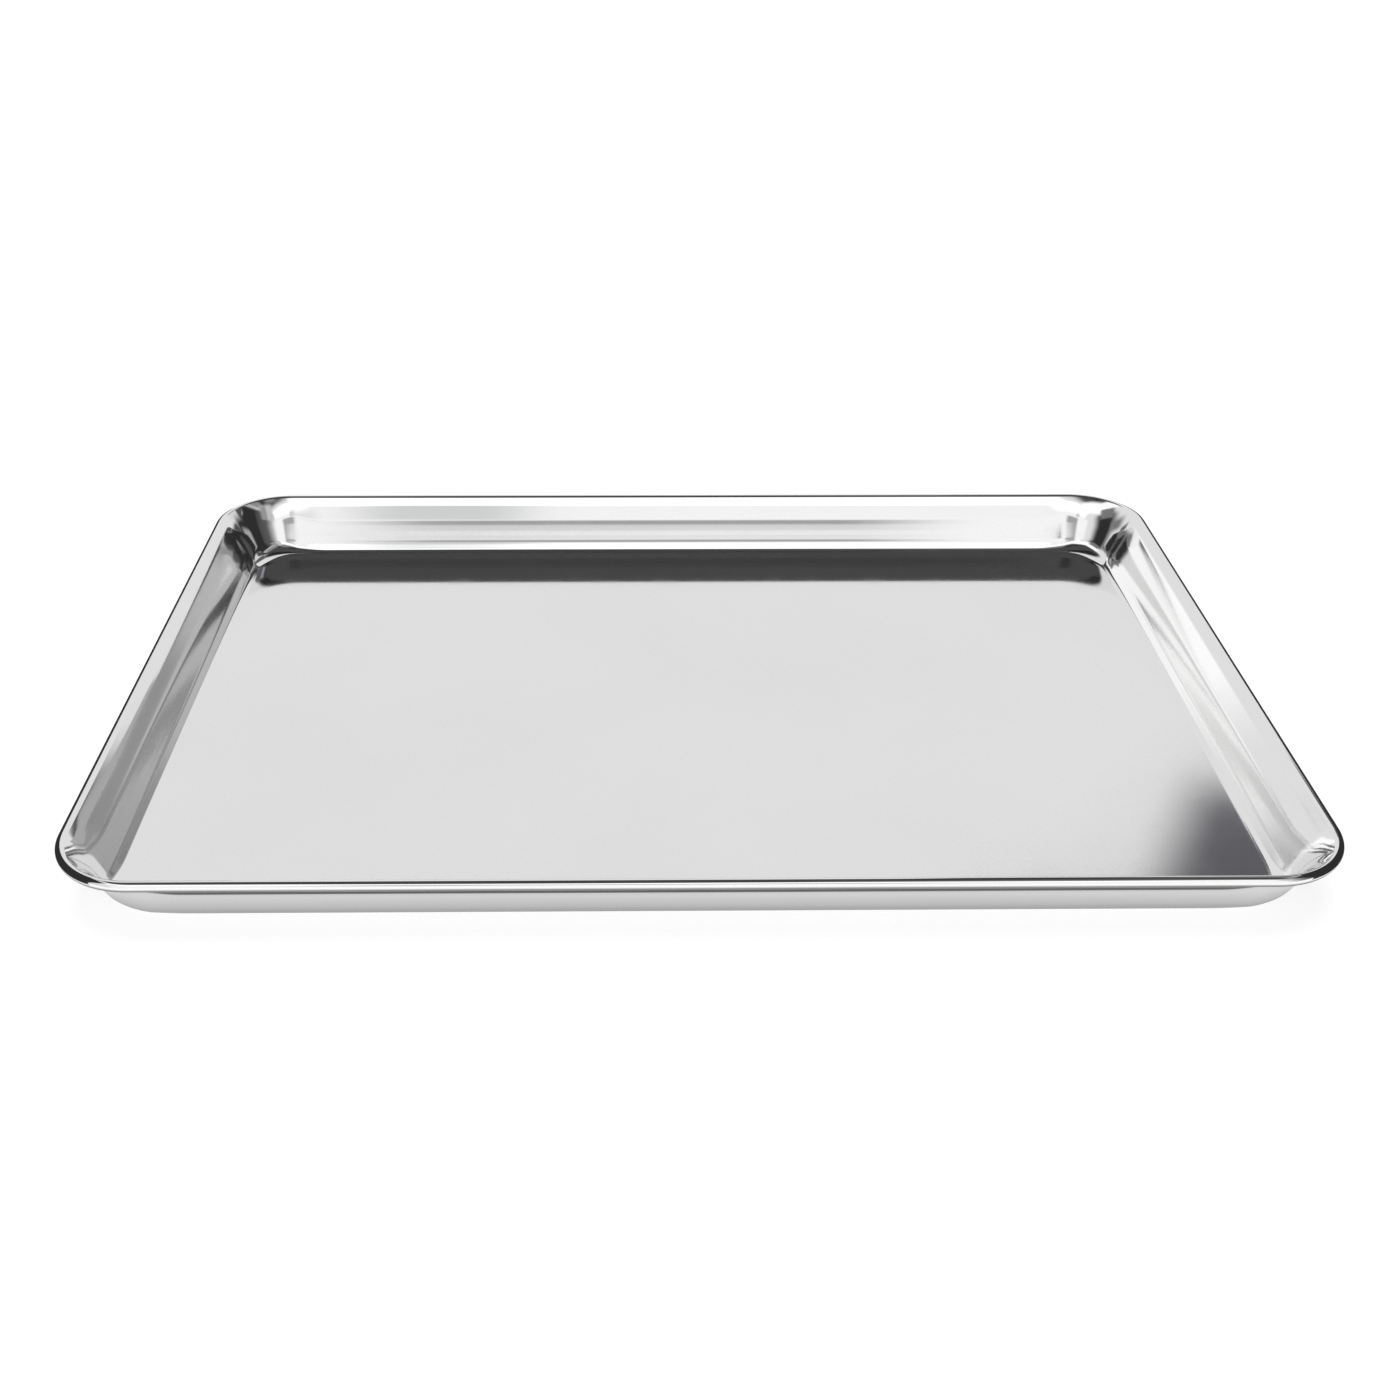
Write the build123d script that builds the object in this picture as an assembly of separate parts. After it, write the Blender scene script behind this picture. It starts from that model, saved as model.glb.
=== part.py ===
from build123d import *
import os
from math import cos, radians, sin, tan

# Jelly roll pan: one sheet of aluminium drawn into a shallow tray with a wired rim, and the wire in that rim.
# Millimetres. The pan stands on z = 0, its centre is over the origin, its length runs along X.

# Overall size, over the rim
pan_length = 457.2
pan_width = 330.2
pan_height = 25.4

# Sheet, and the wire that the rim is curled round
sheet_thickness = 0.9
wire_diameter = 2.0
wire_clearance = 0.1
wire_joint_gap = 0.8

# Section through a side: the wall leans out from the floor by wall_angle, in degrees above the floor.
# The cove joins floor and wall, the shoulder joins wall and rim, and both radii are those of the food side.
wall_angle = 65.0
cove_radius = 3.0
shoulder_radius = 4.0
# Level strip between the shoulder and the top of the bead
crown_land = 0.3
# Degrees that the rim turns, from the top of the bead outwards and back under, to the edge of the sheet
curl_turn = 255.0

# Corners seen from above: at the rim's outer edge, and where the wall's slope would meet the floor
rim_corner_radius = 32.0
floor_corner_radius = 27.0

# Bead: the round rim, whose centre line the wire follows
wire_radius = wire_diameter / 2
curl_inner_radius = wire_radius + wire_clearance
bead_radius = curl_inner_radius + sheet_thickness
bead_height = pan_height - bead_radius
bead_corner_radius = rim_corner_radius - bead_radius

# Where the wall's food side, drawn out straight, would meet the top plane and the floor: insets from the rim's edge
slope = radians(wall_angle)
mouth_inset = bead_radius + crown_land + shoulder_radius * tan(slope / 2)
mouth_corner_radius = rim_corner_radius - mouth_inset
wall_rise = pan_height - sheet_thickness
floor_inset = mouth_inset + wall_rise / tan(slope)

# The sheet measured level through the sloping wall
level_thickness = sheet_thickness / sin(slope)


def rounded_plate(inset, corner_radius, height):
    """Face with the pan's outline, moved in from the rim's outer edge, at one height."""
    outline = RectangleRounded(pan_length - 2 * inset, pan_width - 2 * inset, corner_radius)
    return Plane.XY.offset(height) * outline


def wall_plate(height, outwards):
    """Level slice of the space inside the sloping walls, grown by outwards."""
    share = (height - sheet_thickness) / wall_rise
    inset = floor_inset + (mouth_inset - floor_inset) * share
    corner_radius = floor_corner_radius + (mouth_corner_radius - floor_corner_radius) * share
    return rounded_plate(inset - outwards, corner_radius + outwards, height)


def level_faces(solid):
    """The solid's level faces, lowest first."""
    return solid.faces().filter_by(Axis.Z).sort_by(Axis.Z)


def food_space():
    """The room inside the pan up to the top plane, rounded where the floor meets the walls."""
    room = loft([wall_plate(sheet_thickness, 0), wall_plate(pan_height, 0)], ruled=True)
    return fillet(level_faces(room)[0].edges(), cove_radius)


def outside_of_tray():
    """The pan's underside and outer walls as a full block, under a flange that ends at the top of the bead."""
    flange_height = pan_height - sheet_thickness
    block = loft([wall_plate(0, level_thickness), wall_plate(flange_height, level_thickness)], ruled=True)
    block = fillet(level_faces(block)[0].edges(), cove_radius + sheet_thickness)
    flange = extrude(rounded_plate(bead_radius, bead_corner_radius, flange_height), sheet_thickness)
    block = block + flange
    under_flange = level_faces(block)[1]
    return fillet(under_flange.inner_wires()[0].edges(), shoulder_radius - sheet_thickness)


def tray():
    """Floor, cove, walls and shoulder in sheet of one thickness, as far as the top of the bead."""
    sheet = outside_of_tray() - food_space()
    top_land = level_faces(sheet)[-1]
    return fillet(top_land.inner_wires()[0].edges(), shoulder_radius)


def curl_section():
    """Section of the rim's curl at the origin: out is +X, up is +Y, from the top round to the sheet's edge."""
    ring = Circle(bead_radius) - Circle(curl_inner_radius)
    open_start = 90
    open_end = 90 - curl_turn + 360
    reach = 2 * bead_radius
    middle = (open_start + open_end) / 2
    corners = [open_start, middle, open_end]
    points = [(reach * cos(radians(angle)), reach * sin(radians(angle))) for angle in corners]
    opening = make_face(Polyline((0, 0), *points, (0, 0)))
    return ring - opening


def wire_section():
    """Section of the wire at the origin."""
    return Circle(wire_radius)


def around_rim(section):
    """The section carried round the bead's centre line: four straight runs and four quarter turns."""
    side_x = pan_length / 2 - bead_radius
    side_y = pan_width / 2 - bead_radius
    centre_x = side_x - bead_corner_radius
    centre_y = side_y - bead_corner_radius
    runs = []
    for turn, side, half_run in ((0, side_x, centre_y), (90, side_y, centre_x), (180, side_x, centre_y),
                                 (270, side_y, centre_x)):
        out = Vector(1, 0, 0).rotate(Axis.Z, turn)
        along = Vector(0, 1, 0).rotate(Axis.Z, turn)
        start = out * side - along * half_run + Vector(0, 0, bead_height)
        placed = Plane(origin=start, x_dir=out, z_dir=out.cross(Vector(0, 0, 1))) * section
        runs.append(extrude(placed, 2 * half_run, dir=along))
        turned = placed.moved(Location(along * (2 * half_run)))
        axis_point = out * (side - bead_corner_radius) + along * half_run
        runs.append(revolve(turned, Axis(axis_point, (0, 0, 1)), 90))
    return runs


def pan_body():
    """The drawn sheet: the tray, with its rim curled outwards and under."""
    runs = around_rim(curl_section())
    return tray().fuse(*runs)


def rim_wire():
    """The wire hoop in the bead, whose ends almost meet in the middle of the back side."""
    runs = around_rim(wire_section())
    hoop = runs[0].fuse(*runs[1:]).clean()
    joint = Box(wire_joint_gap, 2 * wire_diameter, 2 * wire_diameter)
    return hoop - joint.moved(Location((0, pan_width / 2 - bead_radius, bead_height)))


os.makedirs("parts", exist_ok=True)
export_step(pan_body(), "parts/pan_body.step")
export_step(rim_wire(), "parts/rim_wire.step")
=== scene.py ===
import math

import bpy
import numpy as np
from mathutils import Matrix, Vector


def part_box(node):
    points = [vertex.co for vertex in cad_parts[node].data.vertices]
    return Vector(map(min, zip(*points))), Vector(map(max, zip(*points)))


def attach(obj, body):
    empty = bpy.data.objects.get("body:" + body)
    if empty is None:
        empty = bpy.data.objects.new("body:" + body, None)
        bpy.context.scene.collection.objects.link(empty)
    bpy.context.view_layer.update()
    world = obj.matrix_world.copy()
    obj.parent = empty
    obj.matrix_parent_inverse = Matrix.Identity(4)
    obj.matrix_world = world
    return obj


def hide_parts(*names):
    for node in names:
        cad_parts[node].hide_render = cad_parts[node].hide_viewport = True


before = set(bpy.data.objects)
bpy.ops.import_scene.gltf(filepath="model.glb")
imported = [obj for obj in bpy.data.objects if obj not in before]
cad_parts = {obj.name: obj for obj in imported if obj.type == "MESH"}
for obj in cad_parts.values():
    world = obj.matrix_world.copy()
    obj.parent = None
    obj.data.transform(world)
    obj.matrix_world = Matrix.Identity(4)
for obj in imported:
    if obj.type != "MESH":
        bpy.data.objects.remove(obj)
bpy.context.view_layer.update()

mm = 0.001

# The pan, in the sizes that the solids have
pan_low, pan_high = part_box("pan_body")
half_length = (pan_high.x - pan_low.x) / 2
half_width = (pan_high.y - pan_low.y) / 2
pan_height = pan_high.z - pan_low.z
sheet_thickness = 0.9 * mm
bead_radius = 2.0 * mm
wall_angle = math.radians(65)
curl_turn = math.radians(255)
rim_corner_radius = 32 * mm
wall_rise = pan_height - sheet_thickness
# Where the wall's straight slope would reach the top plane: inset from the rim, and corner radius
mouth_inset = 4.848 * mm
mouth_corner_radius = 29 * mm
# Where it would reach the floor
floor_inset = mouth_inset + wall_rise / math.tan(wall_angle)
floor_corner_radius = 18 * mm

# The cove between floor and wall widens into the corners, and the flare under the rim bends further there
cove_radius, corner_cove_radius = 3.0 * mm, 12.0 * mm
flare_bend, corner_flare_bend = math.radians(10), math.radians(19)
corner_core, corner_reach = 9 * mm, 47 * mm
# Above the cove the wall's foot goes on bending gently: how much, and over what length along the section
foot_bend = math.radians(8)
foot_length = 7.0 * mm
# Foot and flare are bent in steps, with flat bands between: a step's place up the section, width and share
foot_steps = ((6.3 * mm, 2.0 * mm, 1.0),)
flare_steps = ((16.5 * mm, 3.8 * mm, 0.52), (25.0 * mm, 2.6 * mm, 0.48))
# Long shallow hollows in the walls: depth, and how far apart along the pan and across it
hollow_depth = 0.03 * mm
hollow_length, hollow_width = 41 * mm, 37 * mm

# How finely the sheet is divided
stations_per_corner = 24
stations_per_long_side = 64
stations_per_short_side = 48
floor_rows = 20
cove_rows = 9
foot_rows = 14
wall_rows = 6
flare_rows = 42
bead_rows = 40


def eased(value):
    """Smooth step: 0 up to 0, 1 from 1 on, and three squares less two cubes in between."""
    value = np.clip(value, 0, 1)
    return value * value * (3 - 2 * value)


def rim_stations():
    """Stations round the pan, anticlockwise from where the corner at +X +Y begins.

    A corner's quarter turn is swept in equal angles. A side's stations go from one corner's end to the
    next one's start and crowd towards both. Gives, for each station, the signs of the corner that it
    leaves and of the one that it comes to, its share of the way between them, and its outward direction.
    """
    signs = np.array([(1, 1), (-1, 1), (-1, -1), (1, -1)], float)
    side_counts = (stations_per_long_side, stations_per_short_side) * 2
    crowding = 0.12
    leaves, comes_to, share, angle = [], [], [], []
    for corner, count in enumerate(side_counts):
        following = (corner + 1) % 4
        leaves += [corner] * (stations_per_corner + count)
        comes_to += [corner] * stations_per_corner + [following] * count
        even = np.arange(count) / count
        share += [np.zeros(stations_per_corner), even - crowding * np.sin(2 * math.pi * even)]
        turn = np.arange(stations_per_corner) / stations_per_corner
        angle += [(corner + turn) * math.pi / 2, np.full(count, (corner + 1) * math.pi / 2)]
    angle = np.concatenate(angle)
    outward = np.stack([np.cos(angle), np.sin(angle)], 1)
    return signs[leaves], signs[comes_to], np.concatenate(share), outward


def ring(stations, inset, radius, height):
    """A rounded rectangle's points: its corner centres joined by straight lines, plus the radius."""
    leaves, comes_to, share, outward = stations
    centre = np.array([half_length - inset - radius, half_width - inset - radius])
    flat = centre * (leaves + (comes_to - leaves) * share[:, None]) + radius * outward
    return np.concatenate([flat, np.full((len(flat), 1), height)], 1)


def corner_share(stations):
    """1 in the middle of a corner, easing to 0 at its reach, by the distance from the nearer side's end."""
    rim = ring(stations, 0, rim_corner_radius, 0)
    from_end = np.maximum(half_length - abs(rim[:, 0]), half_width - abs(rim[:, 1]))
    return eased((corner_reach - from_end) / (corner_reach - corner_core))[:, None]


def upper_skin(stations):
    """Rows of the sheet's food side, from the floor's middle to the curl's edge: points, normals and run.

    A wall is ruled between the rounded rectangles where its slope meets the top plane and the floor. The
    cove is an arc of a ball that touches the floor, and the foot is the wider arc that leaves the cove and
    ends along the wall. The bead is a circle round the wire's line, and the flare is the wide arc that
    leaves the wall and ends along the bead. Run is a row's distance along the section from the floor's
    edge, on a straight side, and it is below zero on the floor.
    """
    corner = corner_share(stations)
    cove = cove_radius + (corner_cove_radius - cove_radius) * corner
    bend = flare_bend + (corner_flare_bend - flare_bend) * corner
    outward = np.concatenate([stations[3], np.zeros((len(stations[3]), 1))], 1)
    up = np.array([0.0, 0.0, 1.0])
    mouth = ring(stations, mouth_inset, mouth_corner_radius, pan_height)
    root = ring(stations, floor_inset, floor_corner_radius, sheet_thickness)
    bead_line = ring(stations, bead_radius, rim_corner_radius - bead_radius, pan_height - bead_radius)
    ruling = mouth - root
    lean = np.arctan2(wall_rise, (ruling * outward).sum(1))[:, None]
    wall_normal = up * np.cos(lean) - outward * np.sin(lean)

    # The foot's arc holds the cove's ball inside it, and the wall's slope is its other tangent
    foot_radius = foot_length / foot_bend
    foot_turn = foot_bend * (1 - corner)
    ball_distance = cove + (foot_radius - cove) * (1 - np.cos(foot_turn))
    ball_share = (cove - ball_distance * np.cos(lean)) / wall_rise
    cove_centre = root + ruling * ball_share + wall_normal * ball_distance
    floor_edge = cove_centre - up * cove
    cove_lean = lean - foot_turn
    cove_exit = up * np.cos(cove_lean) - outward * np.sin(cove_lean)
    foot_centre = cove_centre + cove_exit * (foot_radius - cove)
    foot_top = foot_centre - wall_normal * foot_radius
    foot_share = (foot_top[:, 2:] - sheet_thickness) / wall_rise
    foot_aside = root + ruling * foot_share - foot_top

    # The flare's arc holds the bead's circle inside it, and the wall's slope is its other tangent
    wall_distance = ((mouth - bead_line) * wall_normal).sum(1)[:, None]
    flare_radius = (wall_distance - bead_radius * np.cos(bend)) / (1 - np.cos(bend))
    bead_lean = lean - bend
    bead_exit = up * np.cos(bead_lean) - outward * np.sin(bead_lean)
    flare_centre = bead_line - bead_exit * (flare_radius - bead_radius)
    flare_foot = flare_centre + wall_normal * flare_radius
    flare_share = (flare_foot[:, 2:] - sheet_thickness) / wall_rise
    flare_aside = root + ruling * flare_share - flare_foot

    rows = []
    edge_reach = half_width - floor_inset
    for part in np.linspace(0, 1, floor_rows + 1)[1:]:
        point = floor_edge * [part, part, 1]
        rows.append((point, np.broadcast_to(up, point.shape), (part - 1) * edge_reach))
    run = 0.0
    cove_length = cove_radius * (wall_angle - foot_bend)
    for part in np.linspace(0, 1, cove_rows + 1)[1:]:
        normal = up * np.cos(cove_lean * part) - outward * np.sin(cove_lean * part)
        rows.append((cove_centre - normal * cove, normal, run + part * cove_length))
    run += cove_length
    for part in np.linspace(0, 1, foot_rows + 1)[1:]:
        turned = cove_lean + foot_turn * part
        normal = up * np.cos(turned) - outward * np.sin(turned)
        point = foot_centre - normal * foot_radius + foot_aside * part
        rows.append((point, normal, run + part * foot_length))
    run += foot_length
    side = stations_per_corner + stations_per_long_side // 2
    wall_length = wall_rise / math.sin(wall_angle) * (flare_share - foot_share)[side, 0]
    for part in np.linspace(0, 1, wall_rows + 1)[1:]:
        point = root + ruling * (foot_share + (flare_share - foot_share) * part)
        rows.append((point, wall_normal, run + part * wall_length))
    run += wall_length
    flare_length = flare_radius[side, 0] * flare_bend
    for part in np.linspace(0, 1, flare_rows + 1)[1:]:
        turned = lean - bend * part
        normal = up * np.cos(turned) - outward * np.sin(turned)
        point = flare_centre + normal * flare_radius + flare_aside * (1 - part)
        rows.append((point, normal, run + part * flare_length))
    run += flare_length
    curl_length = bead_radius * (curl_turn + wall_angle - flare_bend)
    for part in np.linspace(0, 1, bead_rows + 1)[1:]:
        turned = -bead_lean + (curl_turn + bead_lean) * part
        normal = up * np.cos(turned) + outward * np.sin(turned)
        rows.append((bead_line + normal * bead_radius, normal, run + part * curl_length))
    points, normals, runs = zip(*rows)
    return np.array(points), np.array(normals), np.array(runs)


def tangents(points):
    """Differences between the rows and between the stations on both sides of every point of the skin."""
    down = np.gradient(points, axis=0)
    wrapped = np.concatenate([points[:, -1:], points, points[:, :1]], 1)
    return down, np.gradient(wrapped, axis=1)[:, 1:-1]


def unit(vectors):
    """The vectors at length 1."""
    return vectors / np.linalg.norm(vectors, axis=-1, keepdims=True)


def dot(one, other):
    """The products of two arrays of vectors, with the last axis kept."""
    return (one * other).sum(-1, keepdims=True)


def square_to_the_sheet(points, normals):
    """The section's normals tilted along the rim, to stand square to the line between stations too."""
    down, along = tangents(points)
    sideways = along - down * dot(along, down) / dot(down, down)
    return unit(normals - sideways * dot(normals, along) / dot(sideways, along))


def stepped_height(run, start, end, bend, steps):
    """How far an even arc along the section has to give way so that it bends in steps instead.

    The slope's change is the arc's bend so far less the stepped one, and the height is its sum from row to
    row. What is left at the end is spread over the arc.
    """
    share = np.clip((run - start) / (end - start), 0, 1)
    stepped = sum(part * eased((run - place) / width + 0.5) for place, width, part in steps)
    slope = (share - stepped) * bend
    height = np.concatenate([[0], np.cumsum((slope[1:] + slope[:-1]) / 2 * np.diff(run))])
    return height - share * height[-1]


def unevenness(points, run, corner):
    """How far the sheet stands proud of its true shape, in metres, at every row and station.

    It is the steps in the foot and the flare, and hollows that are a sine along the pan times a cosine
    across it. The hollows ease in above the cove and out below the bead, and all of it fades out in the
    corners.
    """
    from_floor, easing_in, easing_out = 2 * mm, 6 * mm, 4 * mm
    along_shift, across_shift = 0.9, 0.4
    x, y = points[..., 0], points[..., 1]
    foot_end = run[floor_rows + cove_rows + foot_rows - 1]
    flare_start, flare_end = run[-bead_rows - flare_rows - 1], run[-bead_rows - 1]
    height = stepped_height(run, flare_start, flare_end, flare_bend, flare_steps)
    height -= stepped_height(run, foot_end - foot_length, foot_end, foot_bend, foot_steps)
    hollow = np.sin(x / hollow_length + along_shift) * np.cos(y / hollow_width + across_shift)
    wall = eased((run - from_floor) / easing_in) * eased((flare_end - run) / easing_out)
    return ((height + hollow.T * hollow_depth * wall) * (1 - corner) ** 2).T


def uneven(points, normals, run, corner):
    """Points moved along their normals by the unevenness, and the normals of the moved surface."""
    height = unevenness(points, run, corner)[..., None]
    down, along = tangents(points)
    rise_down, rise_along = tangents(height)
    down_down, down_along, along_along = dot(down, down), dot(down, along), dot(along, along)
    cell = down_down * along_along - down_along ** 2
    slope = (down * (along_along * rise_down - down_along * rise_along)
             + along * (down_down * rise_along - down_along * rise_down)) / cell
    return points + normals * height, unit(normals - slope)


def skin_faces(down, across):
    """Faces of a grid closed round the pan, with a fan to a middle vertex at its first and last row.

    Gives the row and station of every quad, and the vertices of the quads, the upper fan and the lower fan.
    """
    row, column = np.meshgrid(np.arange(down - 1), np.arange(across), indexing="ij")
    row, column = row.ravel(), column.ravel()
    beside = (column + 1) % across
    quads = np.stack([row * across + column, (row + 1) * across + column,
                      (row + 1) * across + beside, row * across + beside], 1)
    station = np.arange(across)
    next_station = (station + 1) % across
    last = (down - 1) * across
    fan_above = np.stack([np.full(across, down * across), station, next_station], 1)
    fan_below = np.stack([last + next_station, last + station, np.full(across, down * across + 1)], 1)
    return row, column, quads, fan_above, fan_below


def around_and_run(stations, run, row, column):
    """The faces' UVs, in metres: the distance round the pan, and the run.

    The distance is taken along the line where the wall would meet the top plane.
    """
    mouth = ring(stations, mouth_inset, mouth_corner_radius, pan_height)
    strides = np.linalg.norm(np.roll(mouth, -1, 0) - mouth, axis=1)
    around = np.concatenate([[0], np.cumsum(strides)])
    across = len(mouth)
    quad_u = np.stack([around[column], around[column], around[column + 1], around[column + 1]], 1)
    quad_v = np.stack([run[row], run[row + 1], run[row + 1], run[row]], 1)
    middle_run = run[0] * floor_rows / (floor_rows - 1)
    above_u = np.stack([around[:-1], around[:-1], around[1:]], 1)
    above_v = np.tile([middle_run, run[0], run[0]], (across, 1))
    below_u = np.stack([around[1:], around[:-1], around[:-1]], 1)
    below_v = np.tile([run[0], run[0], middle_run], (across, 1))
    return np.stack([np.concatenate([quad_u.ravel(), above_u.ravel(), below_u.ravel()]),
                     np.concatenate([quad_v.ravel(), above_v.ravel(), below_v.ravel()])], 1)


def drawn_sheet(name):
    """The whole sheet as one closed skin: the upper rows, then the same rows lower by the thickness.

    The lower rows go back to the middle. The vertices are a grid of rows by stations, and the middle of the
    floor above and below. The shading normals are worked out with the surface. The attribute says which
    vertices belong to the outer skin.
    """
    stations = rim_stations()
    points, normals, run = upper_skin(stations)
    normals = square_to_the_sheet(points, normals)
    points, normals = uneven(points, normals, run, corner_share(stations))
    across = points.shape[1]
    lower = points[::-1] - normals[::-1] * sheet_thickness
    grid = np.concatenate([points, lower])
    grid_normals = np.concatenate([normals, -normals[::-1]])
    grid_run = np.concatenate([run, run[::-1]])
    down = len(grid)
    middle_above = grid[0].mean(0)
    middle_below = grid[-1].mean(0)
    vertices = np.concatenate([grid.reshape(-1, 3), [middle_above, middle_below]])
    vertex_normals = np.concatenate([grid_normals.reshape(-1, 3), [[0, 0, 1], [0, 0, -1]]])
    skin_size = len(points) * across
    outer = np.concatenate([np.zeros(skin_size), np.ones(skin_size), [0, 1]])

    row, column, quads, fan_above, fan_below = skin_faces(down, across)
    corners = np.concatenate([quads.ravel(), fan_above.ravel(), fan_below.ravel()])
    sizes = np.concatenate([np.full(len(quads), 4), np.full(2 * across, 3)])
    mesh = bpy.data.meshes.new(name)
    mesh.vertices.add(len(vertices))
    mesh.vertices.foreach_set("co", vertices.ravel())
    mesh.loops.add(len(corners))
    mesh.loops.foreach_set("vertex_index", corners)
    mesh.polygons.add(len(sizes))
    mesh.polygons.foreach_set("loop_start", np.concatenate([[0], np.cumsum(sizes)[:-1]]))
    mesh.update(calc_edges=True)
    mesh.attributes.new("outer_skin", "FLOAT", "POINT").data.foreach_set("value", outer)
    uv = around_and_run(stations, grid_run, row, column)
    mesh.uv_layers.new(name="around_and_run").data.foreach_set("uv", uv.ravel())

    # The cut edge of the sheet faces along the curl, and every other face has the skin's own normals
    corner_normals = vertex_normals[corners]
    cut = row == len(points) - 1
    edge_direction = unit(np.cross(normals[-1], np.roll(points[-1], -1, 0) - points[-1]))
    quad_normals = corner_normals[:quads.size].reshape(-1, 4, 3)
    quad_normals[cut] = edge_direction[column[cut]][:, None, :]
    corner_normals[:quads.size] = quad_normals.reshape(-1, 3)
    mesh.polygons.foreach_set("use_smooth", np.ones(len(sizes), bool))
    mesh.normals_split_custom_set(corner_normals)
    piece = bpy.data.objects.new(name, mesh)
    bpy.context.scene.collection.objects.link(piece)
    return piece


# Camera: where the photograph was taken from, worked out from the rim, floor and underside lines
frame_width = 1400
camera_place = Vector((-24.07, -629.11, 369.94)) * mm
camera_pitch = math.radians(30.417)
camera_yaw = math.radians(0.889)
camera_roll = math.radians(0.254)
focal_pixels = 1691.0
principal_offset_pixels = -43.5
sensor_width_mm = 36.0


def add_camera():
    """Camera looking along +Y, turned right by the yaw, down by the pitch, and rolled."""
    data = bpy.data.cameras.new("camera")
    data.sensor_width = sensor_width_mm
    data.lens = focal_pixels / frame_width * sensor_width_mm
    data.shift_x = -principal_offset_pixels / frame_width
    data.clip_start = 0.01
    level = Vector((math.cos(camera_yaw), -math.sin(camera_yaw), 0))
    ahead = Vector((math.sin(camera_yaw), math.cos(camera_yaw), 0))
    forward = math.cos(camera_pitch) * ahead - Vector((0, 0, math.sin(camera_pitch)))
    above = level.cross(forward)
    right = math.cos(camera_roll) * level + math.sin(camera_roll) * above
    top = -math.sin(camera_roll) * level + math.cos(camera_roll) * above
    turned = Matrix((right, top, -forward)).transposed().to_4x4()
    camera = bpy.data.objects.new("camera", data)
    camera.matrix_world = Matrix.Translation(camera_place) @ turned
    bpy.context.scene.collection.objects.link(camera)
    bpy.context.scene.camera = camera


def new_material(name):
    """An empty node material with a Principled shader on its output: material, nodes, links, shader."""
    material = bpy.data.materials.new(name)
    material.use_nodes = True
    nodes, links = material.node_tree.nodes, material.node_tree.links
    return material, nodes, links, nodes["Principled BSDF"]


def math_node(nodes, links, operation, *inputs):
    """A Math node whose inputs are sockets or plain numbers."""
    node = nodes.new("ShaderNodeMath")
    node.operation = operation
    for index, value in enumerate(inputs):
        if isinstance(value, (int, float)):
            node.inputs[index].default_value = value
        else:
            links.new(value, node.inputs[index])
    return node.outputs[0]


def spread(nodes, links, value, low, high, to_low, to_high):
    """A Map Range node that eases from one pair of numbers to the other."""
    node = nodes.new("ShaderNodeMapRange")
    node.interpolation_type = "SMOOTHSTEP"
    for name, number in (("From Min", low), ("From Max", high), ("To Min", to_low), ("To Max", to_high)):
        node.inputs[name].default_value = number
    links.new(value, node.inputs["Value"])
    return node.outputs["Result"]


def noise(nodes, links, coordinates, scale, detail):
    """A Noise Texture on those coordinates."""
    node = nodes.new("ShaderNodeTexNoise")
    node.inputs["Scale"].default_value = scale
    node.inputs["Detail"].default_value = detail
    links.new(coordinates, node.inputs["Vector"])
    return node.outputs["Fac"]


def bare_glow(name):
    """A node material with only an Emission shader, not sampled as a lamp.

    Gives the material, its nodes and links, the shader and the output, which aren't linked yet.
    """
    material = bpy.data.materials.new(name)
    material.use_nodes = True
    material.cycles.emission_sampling = "NONE"
    nodes, links = material.node_tree.nodes, material.node_tree.links
    nodes.clear()
    return material, nodes, links, nodes.new("ShaderNodeEmission"), nodes.new("ShaderNodeOutputMaterial")


# Studio. Azimuths run from the back (+Y) towards the right (+X), elevations up from the table.
panel_distance = 3.0

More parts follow.
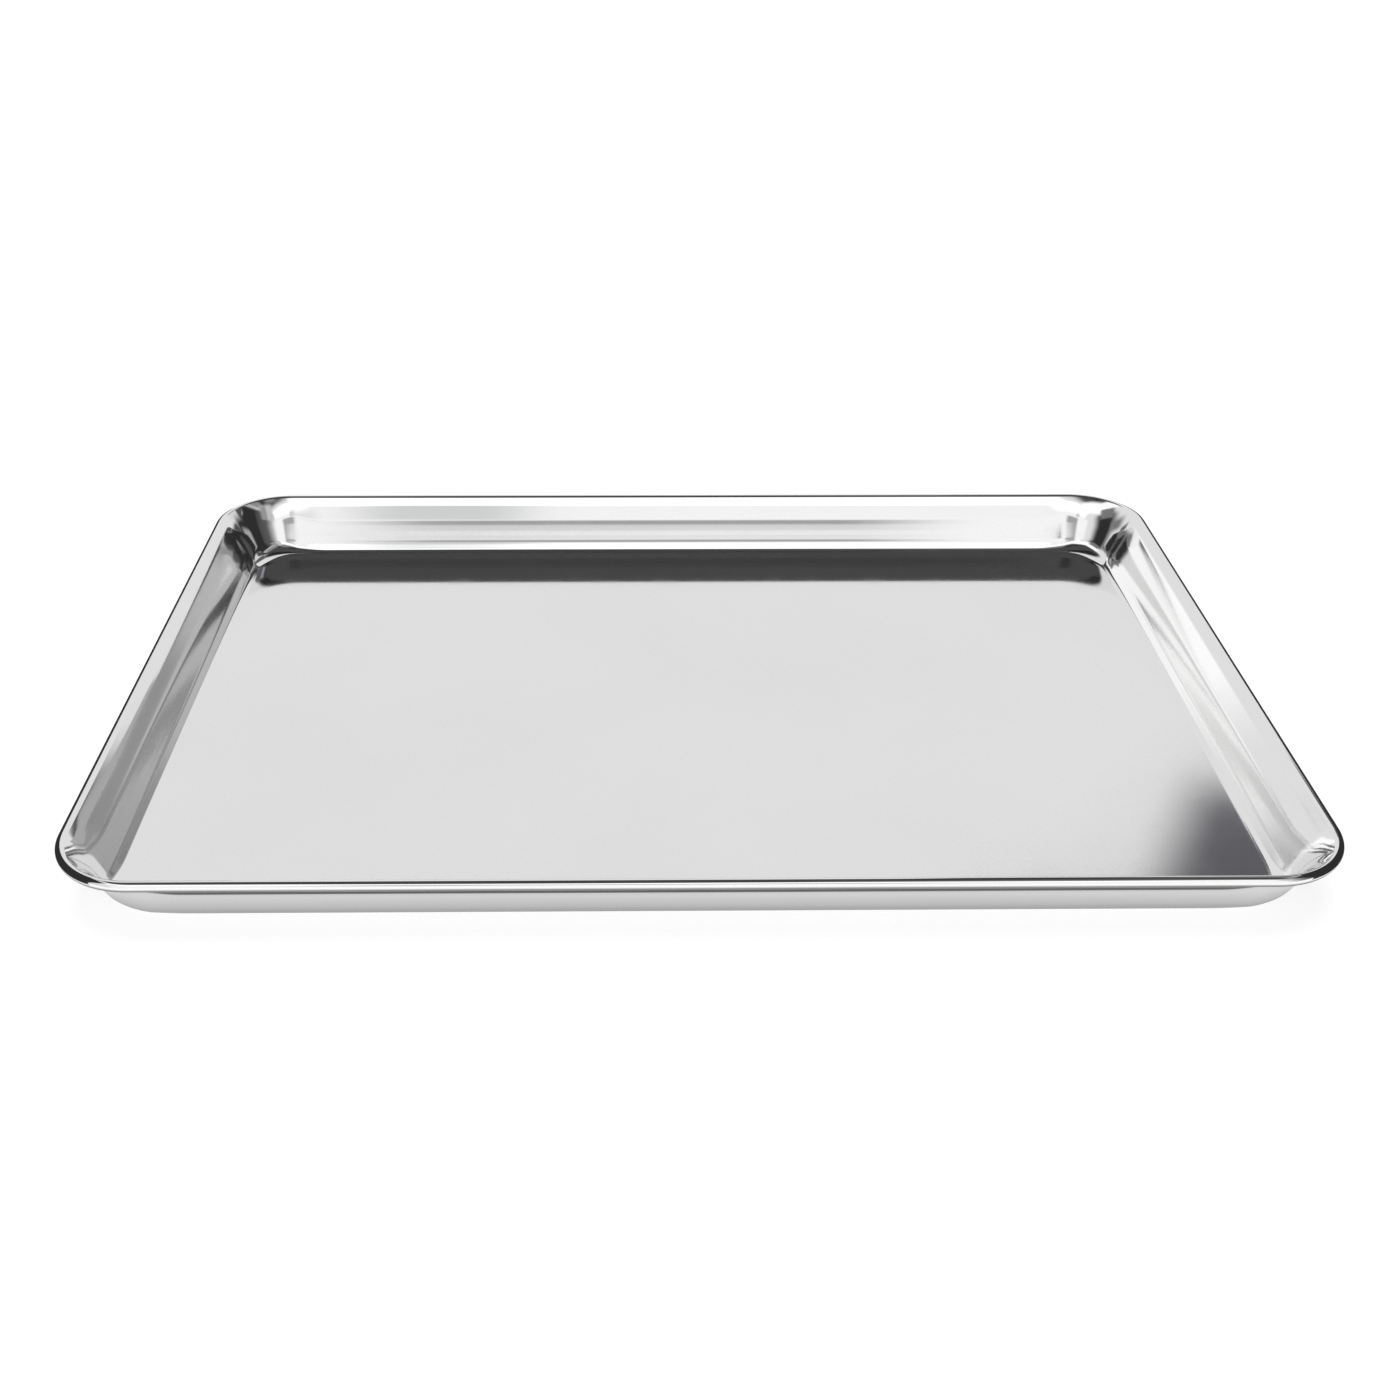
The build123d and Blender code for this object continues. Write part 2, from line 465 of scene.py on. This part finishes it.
# What the metal mirrors: name, place, half size, softness, light and tilt of each panel. Where two overlap,
# the one whose centre is nearer in angle hides the other.
panels = [
    ("dark_ceiling", (0, 90), (33, 36), (0.2, 0.3), (0.07, 0.07, 0.072)),
    ("ceiling_front", (180, 75), (33, 5), (0.3, 0.8), (0.02, 0.02, 0.021)),
    ("ceiling_back", (0, 66), (22, 9), (0.3, 0.5), 0.02),
    ("ceiling_edge", (145, 65), (14, 7), (0.9, 0.8), 0.27),
    ("front_light", (180, 20), (40, 24), (0.3, 0.3), 1.03),
    ("front_top_light", (180, 47), (28, 7), (0.3, 0.3), 1.3),
    ("front_gap", (-180, 31.5), (15, 5.5), (0.45, 0.5), 0.39),
    ("front_haze_high", (-168.5, 39.5), (5.5, 4), (0.7, 0.6), (0.68, 0.7, 0.69)),
    ("front_haze_low", (-168.5, 22), (5.5, 5), (0.7, 0.6), (0.7, 0.72, 0.71)),
    ("left_front_light", (-130, 53), (26, 11), (0.4, 0.5), 1.17),
    ("left_back_light", (-22, 3), (13, 5), (0.35, 0.6), 1.1),
    ("left_light", (-92, 55), (20, 6), (0.3, 0.3), 1.1),
    ("left_gap", (-95, 17), (30, 31), (0.7, 0.3), 0.03),
    ("left_high_grey", (-93, 45), (16, 10), (0.5, 0.3), 0.2),
    ("left_back_grey", (-66, 24), (18, 12), (0.8, 0.8), 0.2),
    ("left_back_gap", (-44.5, 12), (8, 8), (0.6, 0.6), 0.13),
    ("right_gap", (84, 24), (34, 30), (0.25, 0.2), 0.03),
    ("right_back_pale", (45, 39.1), (18, 20), (0.35, 0.7), 0.72, 42),
    ("right_back_gap", (45.5, 9), (12, 9), (0.3, 0.35), 0.08, 42),
    ("right_back_grey", (68, 12), (13, 11), (0.7, 0.7), 0.4),
    ("right_high_grey", (88, 58), (22, 7), (0.7, 0.8), 0.27),
    ("right_ramp", (118, 27), (28, 26), (1.0, 0.3), 0.1),
    ("right_front_grey", (121, 46), (10, 13), (0.8, 0.4), 0.33),
    ("right_front_pale", (134, 47), (9, 14), (0.8, 0.4), 0.58),
    ("blue_flag", (34.9, 43.3), (9, 13), (0.35, 0.15), (0.115, 0.113, 0.128)),
]


def studio_surround():
    """A pale grey surround, which is seen wherever no panel stands and the table doesn't reach."""
    world = bpy.data.worlds.new("studio")
    bpy.context.scene.world = world
    world.use_nodes = True
    world.node_tree.nodes["Background"].inputs["Color"].default_value = (0.82, 0.82, 0.82, 1)


def panel_glow(name, softness, light):
    """The panel's light, which gives way to what is behind it towards the sides and ends."""
    material, nodes, links, glow, out = bare_glow(name)
    uv = nodes.new("ShaderNodeUVMap")
    uv.uv_map = "panel"
    split = nodes.new("ShaderNodeSeparateXYZ")
    links.new(uv.outputs["UV"], split.inputs["Vector"])
    fades = []
    for axis, soft_share in zip("XY", softness):
        from_edge = math_node(nodes, links, "PINGPONG", split.outputs[axis], 0.5)
        fades.append(spread(nodes, links, from_edge, 0, 0.5 * soft_share, 0, 1))
    colour = light if isinstance(light, tuple) else (light, light, light)
    glow.inputs["Color"].default_value = (*colour, 1)
    clear = nodes.new("ShaderNodeBsdfTransparent")
    mixed = nodes.new("ShaderNodeMixShader")
    links.new(math_node(nodes, links, "MULTIPLY", *fades), mixed.inputs["Fac"])
    links.new(clear.outputs[0], mixed.inputs[1])
    links.new(glow.outputs[0], mixed.inputs[2])
    links.new(mixed.outputs[0], out.inputs["Surface"])
    return material


def studio_panel(name, place, half_size, softness, light, tilt=0):
    """A flat panel square on to the pan that fades out towards its edges.

    Place is azimuth and elevation, and half size the angles that half its width and half its height take
    up. Softness gives the shares of the halves over which its sides and its ends fade. Light is the colour
    that it gives off, or one number for a grey. A tilt turns the panel anticlockwise in its own plane, as
    seen from the pan. The reflections and the light on the table see it, and the camera doesn't.
    """
    azimuth, elevation = (math.radians(angle) for angle in place)
    level = Vector((math.cos(azimuth), -math.sin(azimuth), 0))
    ahead = Vector((math.sin(azimuth), math.cos(azimuth), 0))
    towards = ahead * math.cos(elevation) + Vector((0, 0, math.sin(elevation)))
    plumb = level.cross(towards)
    tilt = math.radians(tilt)
    wide, high = (math.tan(math.radians(angle)) for angle in half_size)
    across = (level * math.cos(tilt) + plumb * math.sin(tilt)) * wide
    upwards = (plumb * math.cos(tilt) - level * math.sin(tilt)) * high
    corner_signs = ((-1, -1), (1, -1), (1, 1), (-1, 1))
    corners = [(towards + across * x + upwards * y) * panel_distance for x, y in corner_signs]
    mesh = bpy.data.meshes.new(name)
    mesh.from_pydata(corners, [], [(0, 1, 2, 3)])
    mesh.uv_layers.new(name="panel").data.foreach_set("uv", [0, 0, 1, 0, 1, 1, 0, 1])
    mesh.materials.append(panel_glow(name, softness, light))
    panel = bpy.data.objects.new(name, mesh)
    panel.visible_camera = False
    bpy.context.scene.collection.objects.link(panel)


def metal_only(card, light):
    """Makes a card that nothing but the metal's reflections sees. Each of its vertices has its own grey."""
    card.data.attributes.new("glow", "FLOAT", "POINT").data.foreach_set("value", light)
    material, nodes, links, glow, out = bare_glow(card.name)
    grey = nodes.new("ShaderNodeAttribute")
    grey.attribute_name = "glow"
    links.new(grey.outputs["Fac"], glow.inputs["Strength"])
    links.new(glow.outputs[0], out.inputs["Surface"])
    card.data.materials.append(material)
    for ray in ("camera", "diffuse", "shadow"):
        setattr(card, "visible_" + ray, False)
    bpy.context.scene.collection.objects.link(card)


def side_card(name, x):
    """A black strip that stands beside the pan, higher towards the front, for the rim's dark edge line."""
    high, low = 125 * mm, 70 * mm
    steps = [(-190 * mm, high), (-60 * mm, high), (-50 * mm, low), (260 * mm, low)]
    foot = [(x, y, 0) for y, height in steps]
    top = [(x, y, height) for y, height in steps]
    count = len(steps)
    faces = [(i, i + 1, count + i + 1, count + i) for i in range(count - 1)]
    mesh = bpy.data.meshes.new(name)
    mesh.from_pydata(foot + top, [], faces)
    metal_only(bpy.data.objects.new(name, mesh), [0.03] * (2 * count))


def painted_foot_shadow():
    """A painted shadow frame just over the table round the foot: grey, then dark under the rim, then table
    white.

    Each band is given by its inset from the rim and its grey.
    """
    stations = rim_stations()
    # The pan's shadow on the table, painted in greys: each band's inset from the rim, and its grey
    bands = ((16.3 * mm, 0.40), (14 * mm, 0.5), (7.4 * mm, 0.8), (7.0 * mm, 0.1),
             (0, 0.2), (-11 * mm, 0.45), (-30 * mm, 0.95), (-45 * mm, 1.0))
    tightest, height = 16 * mm, 0.2 * mm
    rings = []
    for inset, grey in bands:
        rings.append(ring(stations, inset, max(rim_corner_radius - inset, tightest), height))
    count = len(rings[0])
    band, near = np.meshgrid(np.arange(len(bands) - 1), np.arange(count), indexing="ij")
    band, near = band.ravel() * count, near.ravel()
    beside = (near + 1) % count
    faces = np.stack([band + near, band + count + near, band + count + beside, band + beside], 1)
    mesh = bpy.data.meshes.new("painted_foot_shadow")
    mesh.from_pydata(np.concatenate(rings).tolist(), [], faces.tolist())
    metal_only(bpy.data.objects.new("painted_foot_shadow", mesh), np.repeat([grey for inset, grey in bands], count))


def upright_card(name, behind, left, right, bottoms, tops, light):
    """A four-cornered card that stands behind the pan, level or sloping, with a grey for each corner."""
    places = [(left, bottoms[0]), (right, bottoms[1]), (right, tops[1]), (left, tops[0])]
    mesh = bpy.data.meshes.new(name)
    mesh.from_pydata([(x, behind, z) for x, z in places], [], [(0, 1, 2, 3)])
    metal_only(bpy.data.objects.new(name, mesh), light)


def back_cards():
    """Two cards behind the pan to the right.

    The grey one is mirrored by the left wall's lower band, by way of the floor. The dark one hangs higher
    and broadens the dark line along the front rim's right half.
    """
    upright_card("back_card", 600 * mm, 180 * mm, 620 * mm, (0, 0), (84 * mm, 205 * mm), [0.42] * 4)
    upright_card("rim_flag", 430 * mm, 230 * mm, 620 * mm, (430 * mm, 415 * mm), (1000 * mm, 1000 * mm),
                 [0.12, 0.08, 0.04, 0.04])


def table_paint():
    """Matt grey paint that the camera and the metal see nearly white, and that is clear from below."""
    lift = 0.8
    material, nodes, links, shader = new_material("table_paint")
    shader.inputs["Base Color"].default_value = (0.35, 0.35, 0.35, 1)
    shader.inputs["Roughness"].default_value = 0.9
    shader.inputs["Specular IOR Level"].default_value = 0.1
    shader.inputs["Emission Color"].default_value = (1, 1, 1, 1)
    path = nodes.new("ShaderNodeLightPath")
    rays = [path.outputs[ray] for ray in ("Is Camera Ray", "Is Glossy Ray", "Is Transmission Ray")]
    seen = math_node(nodes, links, "MAXIMUM", rays[0], rays[1])
    seen = math_node(nodes, links, "MAXIMUM", seen, rays[2])
    links.new(math_node(nodes, links, "MULTIPLY", seen, lift), shader.inputs["Emission Strength"])
    clear = nodes.new("ShaderNodeBsdfTransparent")
    side = nodes.new("ShaderNodeNewGeometry")
    mixed = nodes.new("ShaderNodeMixShader")
    links.new(side.outputs["Backfacing"], mixed.inputs["Fac"])
    links.new(shader.outputs[0], mixed.inputs[1])
    links.new(clear.outputs[0], mixed.inputs[2])
    links.new(mixed.outputs[0], nodes["Material Output"].inputs["Surface"])
    return material


def table_top():
    """A pale table with the pan's shadow on it, a hair below the pan's base."""
    half = 6.0
    low = -0.05 * mm
    corners = [(-half, -half, low), (half, -half, low), (half, half, low), (-half, half, low)]
    mesh = bpy.data.meshes.new("table_top")
    mesh.from_pydata(corners, [], [(0, 1, 2, 3)])
    mesh.materials.append(table_paint())
    table = bpy.data.objects.new("table_top", mesh)
    bpy.context.scene.collection.objects.link(table)


def fill_lamp():
    """A broad lamp overhead for the table and anything matt, which the metal doesn't mirror."""
    data = bpy.data.lights.new("fill_lamp", "AREA")
    data.shape = "DISK"
    data.size = 1.6
    data.energy = 20
    lamp = bpy.data.objects.new("fill_lamp", data)
    lamp.location = (0, 0, 2.0)
    lamp.visible_glossy = False
    lamp.visible_camera = False
    bpy.context.scene.collection.objects.link(lamp)


def drawn_aluminium():
    """Bright drawn aluminium: a near mirror with faint satin grain, clouds, scuffs, and painted shade in
    the crease.

    Grain, clouds and scuffs lie on object coordinates. The crease is where the outer wall runs up behind
    the bead, and is found by the outer skin's attribute and the run up the section in the UV map.
    """
    crease_start, crease_end = (17.2 * mm, 18.2 * mm), (27.0 * mm, 29.0 * mm)
    curl_lip = (37.4 * mm, 38.6 * mm)
    # The metal's tone, how much the painted shade in the crease darkens it, and how much rougher it makes
    # it
    metal_tone, painted_shade_depth, shaded_crease_roughness = 0.895, 0.72, 0.25
    material, nodes, links, shader = new_material("drawn_aluminium")
    place = nodes.new("ShaderNodeTexCoord").outputs["Object"]
    uv = nodes.new("ShaderNodeUVMap")
    uv.uv_map = "around_and_run"
    split = nodes.new("ShaderNodeSeparateXYZ")
    links.new(uv.outputs["UV"], split.inputs["Vector"])
    run = split.outputs["Y"]
    skin = nodes.new("ShaderNodeAttribute")
    skin.attribute_name = "outer_skin"

    clouds = noise(nodes, links, place, 9.0, 3.0)
    grain = noise(nodes, links, place, 1400.0, 2.0)
    scuffs = noise(nodes, links, place, 60.0, 4.0)

    # Painted shade, darker and rougher: the crease behind the bead, and the last of the curl
    under = math_node(nodes, links, "MULTIPLY", spread(nodes, links, run, *crease_start, 0, 1),
                      spread(nodes, links, run, *crease_end, 1, 0))
    behind = math_node(nodes, links, "MULTIPLY", under, skin.outputs["Fac"])
    lip = spread(nodes, links, run, *curl_lip, 0, 1)
    painted_crease_shade = math_node(nodes, links, "MAXIMUM", behind, lip)
    cloudy = spread(nodes, links, clouds, 0.3, 0.7, metal_tone - 0.01, metal_tone + 0.01)
    # The painted shade takes tone off the metal in the crease and at the curl's end
    loss = math_node(nodes, links, "MULTIPLY", painted_crease_shade, painted_shade_depth)
    shade = math_node(nodes, links, "SUBTRACT", cloudy, loss)
    shade = math_node(nodes, links, "SUBTRACT", shade, spread(nodes, links, grain, 0.35, 0.65, 0, 0.02))
    tint = nodes.new("ShaderNodeCombineColor")
    links.new(shade, tint.inputs["Red"])
    links.new(shade, tint.inputs["Green"])
    links.new(math_node(nodes, links, "MULTIPLY", shade, 0.998), tint.inputs["Blue"])
    links.new(tint.outputs["Color"], shader.inputs["Base Color"])

    satin = spread(nodes, links, grain, 0.3, 0.7, 0.055, 0.075)
    worn = spread(nodes, links, scuffs, 0.45, 0.75, 0, 0.02)
    # Where the shade is painted, the metal is rougher too
    dull = math_node(nodes, links, "MULTIPLY", painted_crease_shade, shaded_crease_roughness)
    roughness = math_node(nodes, links, "ADD", math_node(nodes, links, "ADD", satin, worn), dull)
    links.new(roughness, shader.inputs["Roughness"])
    shader.inputs["Metallic"].default_value = 1.0
    return material


def galvanised_wire():
    """The rim's stiffening wire: drawn steel under a dull, spangled zinc coat."""
    material, nodes, links, shader = new_material("galvanised_wire")
    place = nodes.new("ShaderNodeTexCoord").outputs["Object"]
    spangle = nodes.new("ShaderNodeTexVoronoi")
    spangle.inputs["Scale"].default_value = 700.0
    links.new(place, spangle.inputs["Vector"])
    patches = noise(nodes, links, place, 220.0, 4.0)
    mixed = math_node(nodes, links, "MULTIPLY", spangle.outputs["Distance"], patches)
    tint = nodes.new("ShaderNodeValToRGB")
    tint.color_ramp.elements[0].color = (0.30, 0.31, 0.32, 1)
    tint.color_ramp.elements[1].color = (0.62, 0.63, 0.64, 1)
    tint.color_ramp.elements[1].position = 0.5
    links.new(mixed, tint.inputs["Fac"])
    links.new(tint.outputs["Color"], shader.inputs["Base Color"])
    links.new(spread(nodes, links, patches, 0.3, 0.7, 0.32, 0.5), shader.inputs["Roughness"])
    shader.inputs["Metallic"].default_value = 0.9
    return material


def placed(piece, slot_name, material, *nodes):
    """Puts a finished piece on the pan's body with that material, in place of those CAD nodes. The slot
    name is not used.
    """
    piece.data.materials.clear()
    piece.data.materials.append(material)
    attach(piece, "root")
    if nodes:
        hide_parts(*nodes)
    return piece


add_camera()
sheet = drawn_sheet("drawn_sheet")
placed(sheet, "pan_aluminium", drawn_aluminium(), "pan_body")
wire_coat = galvanised_wire()
for wire_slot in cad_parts["rim_wire"].material_slots:
    wire_slot.material = wire_coat
studio_surround()
for panel in panels:
    studio_panel(*panel)
side_card("left_card", -262 * mm)
side_card("right_card", 262 * mm)
back_cards()
# The painted shadow round the pan's foot, which only the metal's reflections see
painted_foot_shadow()
table_top()
fill_lamp()
bpy.context.scene.view_settings.view_transform = "Standard"
